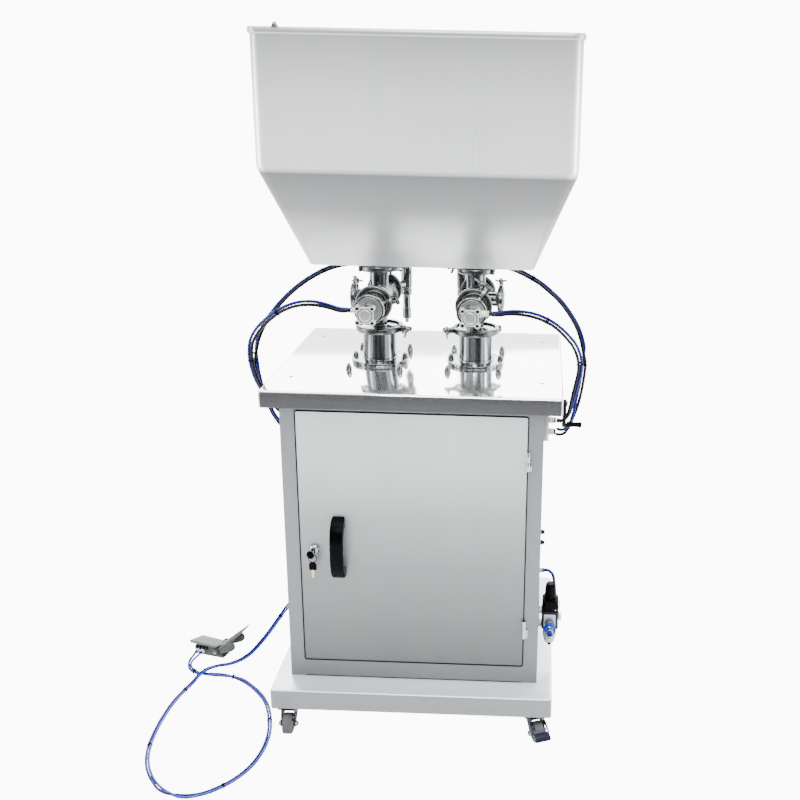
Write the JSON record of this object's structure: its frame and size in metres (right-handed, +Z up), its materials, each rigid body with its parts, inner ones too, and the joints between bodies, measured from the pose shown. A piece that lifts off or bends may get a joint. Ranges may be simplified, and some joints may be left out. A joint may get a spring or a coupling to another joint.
{
  "type": "piston paste filling machine",
  "caption": "Pneumatic piston filler for pastes: a tapered hopper feeds valves and filling cylinders on a wheeled steel cabinet with a stroke crank, air regulator and foot pedal.",
  "frame": {"origin": "middle of the machine's floor area, at floor height, counted with its foot pedal and without its free air tubes", "axes": "+X to the right seen from the door, +Y from the door to the back, +Z up"},
  "size_m": [1.0433, 0.8479, 1.642],
  "materials": {
    "satin_sheet": "satin brushed stainless sheet",
    "polished_steel": "polished stainless",
    "chrome": "bright chrome",
    "black_plastic": "moulded satin black",
    "black_steel": "black painted or blackened steel",
    "grey_rubber": "dark grey caster tread and core",
    "anodised_aluminium": "clear anodised",
    "cast_aluminium": "grey textured casting",
    "white_seal": "machined white sealing plastic on a steel rod",
    "clear_bowl": "clear moulded bowl",
    "blue_valve": "bright blue moulding",
    "blue_tube": "blue air tube"
  },
  "bodies": {
    "root": {"base_plinth": "satin_sheet", "cabinet_body": "satin_sheet", "table_top": "satin_sheet", "hinge_upper": "chrome", "hinge_lower": "chrome", "hopper": "satin_sheet", "side_block_left": "anodised_aluminium", "side_block_right": "anodised_aluminium", "regulator_body": "black_plastic", "pedal_base": "cast_aluminium", "tube_valve_left": "blue_tube", "tube_nozzle_left": "blue_tube", "tube_valve_right": "blue_tube", "tube_nozzle_right": "blue_tube", "tube_pedal": "blue_tube", "tube_regulator": "blue_tube", "fill_cylinder_left": "polished_steel", "drive_cylinder_left": "anodised_aluminium", "valve_body_left": "polished_steel", "air_cylinder_left": "anodised_aluminium", "nozzle_left": "polished_steel", "cylinder_clamp_left": "polished_steel", "front_clamp_left": "polished_steel", "outlet_clamp_left": "polished_steel", "fill_cylinder_right": "polished_steel", "drive_cylinder_right": "anodised_aluminium", "valve_body_right": "polished_steel", "air_cylinder_right": "anodised_aluminium", "nozzle_right": "polished_steel", "cylinder_clamp_right": "polished_steel", "front_clamp_right": "polished_steel", "outlet_clamp_right": "polished_steel"},
    "door": {"door_panel": "satin_sheet", "door_handle": "black_plastic", "lock_body": "chrome"},
    "key": {"lock_key": "black_plastic"},
    "spare": {"spare_key": "black_plastic"},
    "caster_front_left": {"caster_fork_front_left": "black_steel"},
    "wheel_front_left": {"caster_wheel_front_left": "grey_rubber"},
    "caster_front_right": {"caster_fork_front_right": "black_steel"},
    "wheel_front_right": {"caster_wheel_front_right": "grey_rubber"},
    "caster_rear_left": {"caster_fork_rear_left": "black_steel"},
    "wheel_rear_left": {"caster_wheel_rear_left": "grey_rubber"},
    "caster_rear_right": {"caster_fork_rear_right": "black_steel"},
    "wheel_rear_right": {"caster_wheel_rear_right": "grey_rubber"},
    "brake": {"brake_pedal": "black_plastic"},
    "piston_left": {"piston_left": "white_seal"},
    "spool_left": {"valve_spool_left": "white_seal"},
    "wing_nut_left": {"cylinder_wing_nut_left": "polished_steel"},
    "piston_right": {"piston_right": "white_seal"},
    "spool_right": {"valve_spool_right": "white_seal"},
    "wing_nut_right": {"cylinder_wing_nut_right": "polished_steel"},
    "crank": {"crank_arm": "black_steel"},
    "grip": {"crank_grip": "black_plastic"},
    "screw": {"adjust_screw": "polished_steel"},
    "stop": {"stop_bar": "anodised_aluminium"},
    "knob": {"regulator_knob": "black_plastic"},
    "bowl": {"regulator_bowl": "clear_bowl"},
    "ring": {"valve_ring": "blue_valve"},
    "treadle": {"pedal_lever": "cast_aluminium"}
  },
  "joints": [
    {"name": "door_hinge", "type": "hinge", "parent": "root", "child": "door", "pos_m": [0.39365, -0.22236, 0], "axis": [0, 0, 1], "range_deg": [0, 110]},
    {"name": "lock_turn", "type": "hinge", "parent": "door", "child": "key", "pos_m": [-0.10235, -0.21736, 0.464], "axis": [0, 1, 0], "range_deg": [0, 90]},
    {"name": "key_swing", "type": "hinge", "parent": "key", "child": "spare", "pos_m": [-0.10235, -0.24516, 0.464], "axis": [1, 0, 0], "range_deg": [-60, 20]},
    {"name": "caster_swivel_front_left", "type": "hinge", "parent": "root", "child": "caster_front_left", "pos_m": [-0.16935, -0.25536, 0], "axis": [0, 0, 1], "continuous": true},
    {"name": "wheel_spin_front_left", "type": "hinge", "parent": "caster_front_left", "child": "wheel_front_left", "pos_m": [-0.16935, -0.27536, 0.025], "axis": [1, 0, 0], "continuous": true},
    {"name": "caster_swivel_front_right", "type": "hinge", "parent": "root", "child": "caster_front_right", "pos_m": [0.42465, -0.25536, 0], "axis": [0, 0, 1], "continuous": true},
    {"name": "wheel_spin_front_right", "type": "hinge", "parent": "caster_front_right", "child": "wheel_front_right", "pos_m": [0.43214, -0.27391, 0.025], "axis": [0.9272, 0.3746, 0], "continuous": true},
    {"name": "caster_swivel_rear_left", "type": "hinge", "parent": "root", "child": "caster_rear_left", "pos_m": [-0.16935, 0.28564, 0], "axis": [0, 0, 1], "continuous": true},
    {"name": "wheel_spin_rear_left", "type": "hinge", "parent": "caster_rear_left", "child": "wheel_rear_left", "pos_m": [-0.16519, 0.26607, 0.025], "axis": [0.9781, 0.2079, 0], "continuous": true},
    {"name": "caster_swivel_rear_right", "type": "hinge", "parent": "root", "child": "caster_rear_right", "pos_m": [0.42465, 0.28564, 0], "axis": [0, 0, 1], "continuous": true},
    {"name": "wheel_spin_rear_right", "type": "hinge", "parent": "caster_rear_right", "child": "wheel_rear_right", "pos_m": [0.41947, 0.26632, 0.025], "axis": [0.9659, -0.2588, 0], "continuous": true},
    {"name": "brake_hinge", "type": "hinge", "parent": "caster_front_right", "child": "brake", "pos_m": [0.43214, -0.27391, 0.0475], "axis": [0.9272, 0.3746, 0], "range_deg": [0, 8]},
    {"name": "piston_slide_left", "type": "slide", "parent": "root", "child": "piston_left", "axis": [0, 0, 1], "range_m": [0, 0.045]},
    {"name": "piston_slide_right", "type": "slide", "parent": "root", "child": "piston_right", "axis": [0, 0, 1], "range_m": [0, 0.045]},
    {"name": "spool_slide_left", "type": "slide", "parent": "root", "child": "spool_left", "axis": [0, 1, 0], "range_m": [0, 0.022]},
    {"name": "spool_slide_right", "type": "slide", "parent": "root", "child": "spool_right", "axis": [0, 1, 0], "range_m": [0, 0.022]},
    {"name": "wing_nut_spin_left", "type": "hinge", "parent": "root", "child": "wing_nut_left", "pos_m": [0.08831, 0.0056, 0.94115], "axis": [-0.2425, -0.9701, 0], "continuous": true},
    {"name": "wing_nut_spin_right", "type": "hinge", "parent": "root", "child": "wing_nut_right", "pos_m": [0.18499, 0.0056, 0.94115], "axis": [0.2425, -0.9701, 0], "continuous": true},
    {"name": "crank_turn", "type": "hinge", "parent": "root", "child": "crank", "pos_m": [0.13665, -0.09636, 0.8], "axis": [1, 0, 0], "range_deg": [-1575, 0]},
    {"name": "grip_spin", "type": "hinge", "parent": "crank", "child": "grip", "pos_m": [0.47965, -0.09636, 0.748], "axis": [1, 0, 0], "continuous": true},
    {"name": "screw_turn", "type": "hinge", "parent": "root", "child": "screw", "pos_m": [0.13665, -0.09636, 0.8], "axis": [0, 0, 1], "range_deg": [0, 1576]},
    {"name": "stop_slide", "type": "slide", "parent": "root", "child": "stop", "axis": [0, 0, 1], "range_m": [-0.0351, 0]},
    {"name": "knob_turn", "type": "hinge", "parent": "root", "child": "knob", "pos_m": [0.45665, -0.11636, 0.3003], "axis": [0, 0, 1], "range_deg": [0, 720]},
    {"name": "bowl_turn", "type": "hinge", "parent": "root", "child": "bowl", "pos_m": [0.45665, -0.11636, 0.2217], "axis": [0, 0, 1], "range_deg": [0, 45]},
    {"name": "ring_slide", "type": "slide", "parent": "root", "child": "ring", "axis": [0, 1, 0], "range_m": [0, 0.008]},
    {"name": "treadle_hinge", "type": "hinge", "parent": "root", "child": "treadle", "pos_m": [-0.43835, 0.05164, 0.017], "axis": [0.2419, 0.9703, 0], "range_deg": [0, 12], "stiffness_Nm_per_rad": 2, "springref_deg": -20.05}
  ],
  "couplings": [
    {"joint": "piston_slide_right", "follows": "piston_slide_left", "ratio": 1},
    {"joint": "spool_slide_right", "follows": "spool_slide_left", "ratio": 1},
    {"joint": "screw_turn", "follows": "crank_turn", "ratio": -1},
    {"joint": "stop_slide", "follows": "crank_turn", "m_per_rad": 0.0012732}
  ]
}
